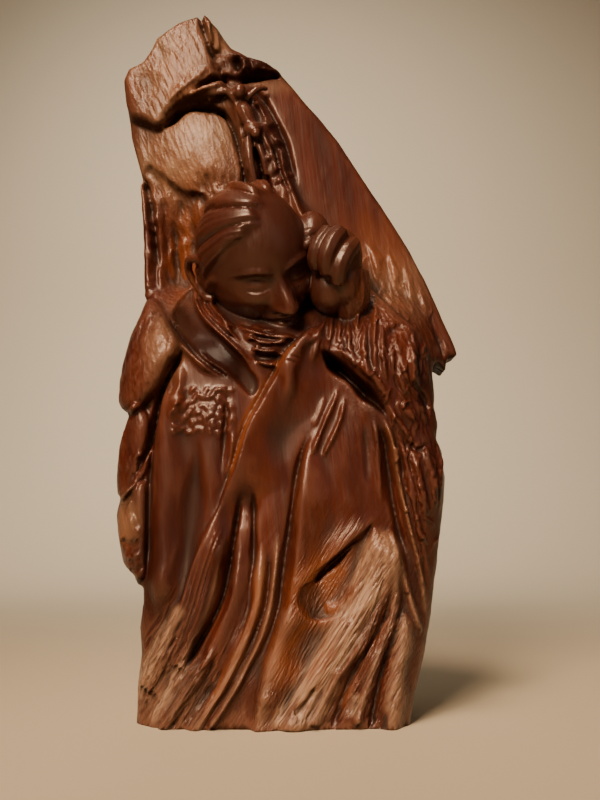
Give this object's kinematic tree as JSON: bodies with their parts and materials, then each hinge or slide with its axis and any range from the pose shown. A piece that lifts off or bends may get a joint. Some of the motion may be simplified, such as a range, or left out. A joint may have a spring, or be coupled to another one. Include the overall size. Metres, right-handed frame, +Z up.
{
  "type": "pope sculpture",
  "caption": "High-relief folk carving of a robed figure bowed against a crucifix staff, cut in dark hardwood, standing on its flat sawn base.",
  "frame": {"origin": "middle of the flat sawn underside the carving stands on", "axes": "+Z up from the underside to the top of the slab, -Y is the side the carved front faces, +X to the viewer's right"},
  "size_m": [0.1931, 0.096, 0.3994],
  "materials": {
    "dark_hardwood": "waxed, dark red-brown, polished on the hair, face and hands and dull in the hollows"
  },
  "bodies": {
    "root": {"carving": "dark_hardwood"}
  },
  "joints": []
}
